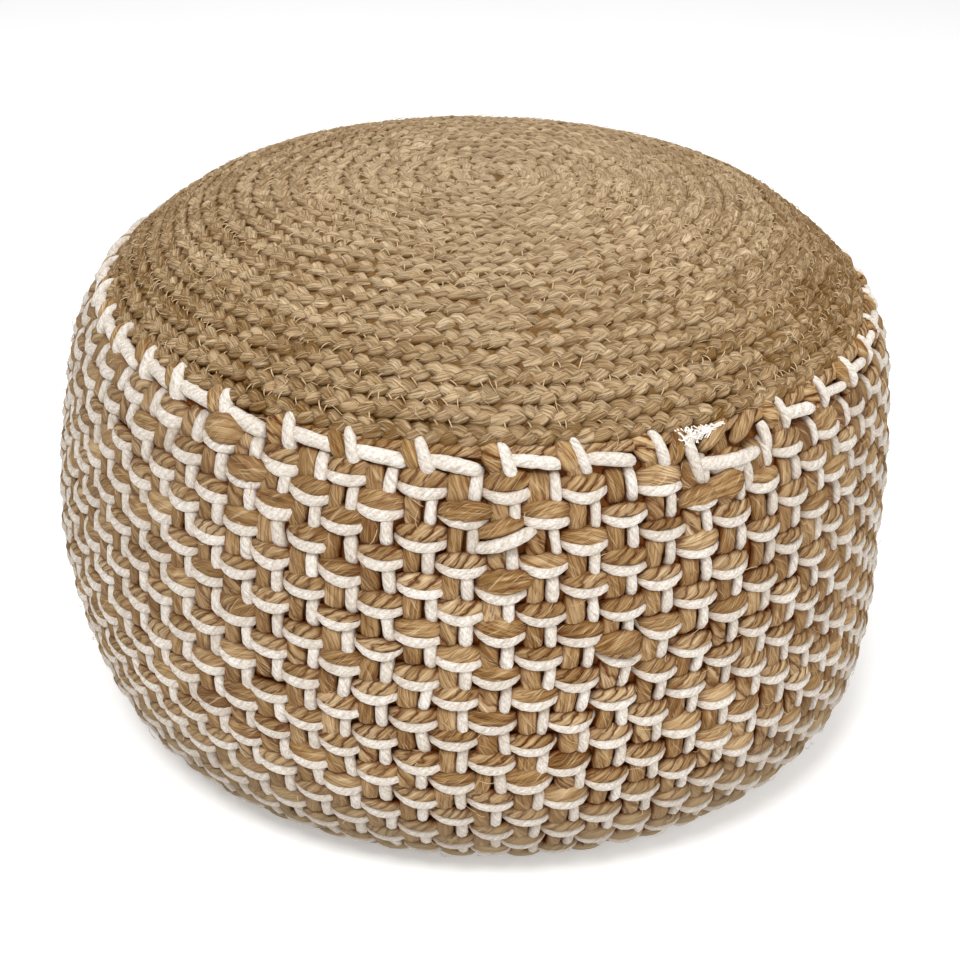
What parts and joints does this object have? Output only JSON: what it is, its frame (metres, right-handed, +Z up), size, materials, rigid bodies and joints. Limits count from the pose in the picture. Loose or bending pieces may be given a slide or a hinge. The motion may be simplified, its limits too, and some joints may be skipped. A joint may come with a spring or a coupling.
{
  "type": "jute pouf",
  "caption": "Round filled floor pouf with a coiled jute braid top and a chunky woven side of jute and white cotton cord, laced together at the seam.",
  "frame": {"origin": "on the floor under the middle of the pouf", "axes": "+Z up through the crown, -Y towards the front, +X to the right seen from the front"},
  "size_m": [0.5021, 0.5, 0.3186],
  "materials": {
    "jute_cord": "loosely twisted two-ply jute cord, golden tan with darker hollows, dry and fibrous",
    "jute_braid": "flat three-strand jute braid, greyer tan, dry and fibrous, tone changing from turn to turn",
    "cotton_cord": "soft off-white cotton cord with a fine surface, a little greyer towards the floor",
    "base_cloth": "plain close-woven jute cloth"
  },
  "bodies": {
    "root": {"woven_body": "jute_cord", "braided_top": "jute_braid", "edge_lacing": "cotton_cord", "base_panel": "base_cloth"}
  },
  "joints": []
}
